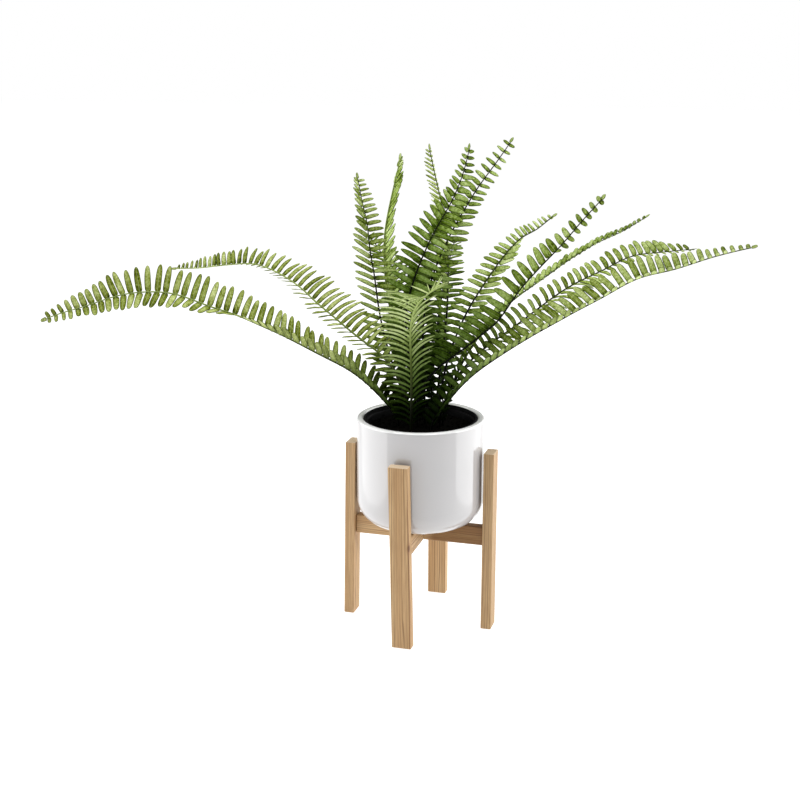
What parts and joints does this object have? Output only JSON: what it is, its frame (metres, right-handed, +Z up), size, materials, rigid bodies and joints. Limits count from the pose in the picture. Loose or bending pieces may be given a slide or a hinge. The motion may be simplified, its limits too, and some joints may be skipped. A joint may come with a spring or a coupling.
{
  "type": "potted fern",
  "caption": "Fern with long feathery fronds in a white glazed cylindrical planter, which rests on the crossbars of a wooden stand with upright legs.",
  "frame": {"origin": "on the floor, midway between the four legs, under the planter's centre", "axes": "+Z up, -Y to the front leg, X and Y along the crossbars"},
  "size_m": [0.7322, 0.4048, 0.568],
  "materials": {
    "wood": "matte",
    "glaze": "gloss",
    "black_plastic": "satin",
    "soil": "matte",
    "leaf": "satin"
  },
  "bodies": {
    "root": {"leg_front": "wood", "leg_right": "wood", "leg_back": "wood", "leg_left": "wood", "crossbar_side_to_side": "wood", "crossbar_front_to_back": "wood", "dowel_front_upper": "wood", "dowel_front_lower": "wood", "dowel_right_upper": "wood", "dowel_right_lower": "wood", "dowel_back_upper": "wood", "dowel_back_lower": "wood", "dowel_left_upper": "wood", "dowel_left_lower": "wood", "planter": "glaze", "liner": "black_plastic", "soil": "soil", "frond_far_left": "leaf", "frond_far_right": "leaf", "frond_tallest": "leaf", "frond_front": "leaf", "frond_upright": "leaf", "frond_upright_left": "leaf", "frond_right_upright": "leaf", "frond_right": "leaf", "frond_left": "leaf", "frond_right_back": "leaf", "frond_right_folded": "leaf", "frond_slim": "leaf", "frond_edgewise": "leaf", "frond_back": "leaf", "frond_back_left": "leaf"}
  },
  "joints": []
}
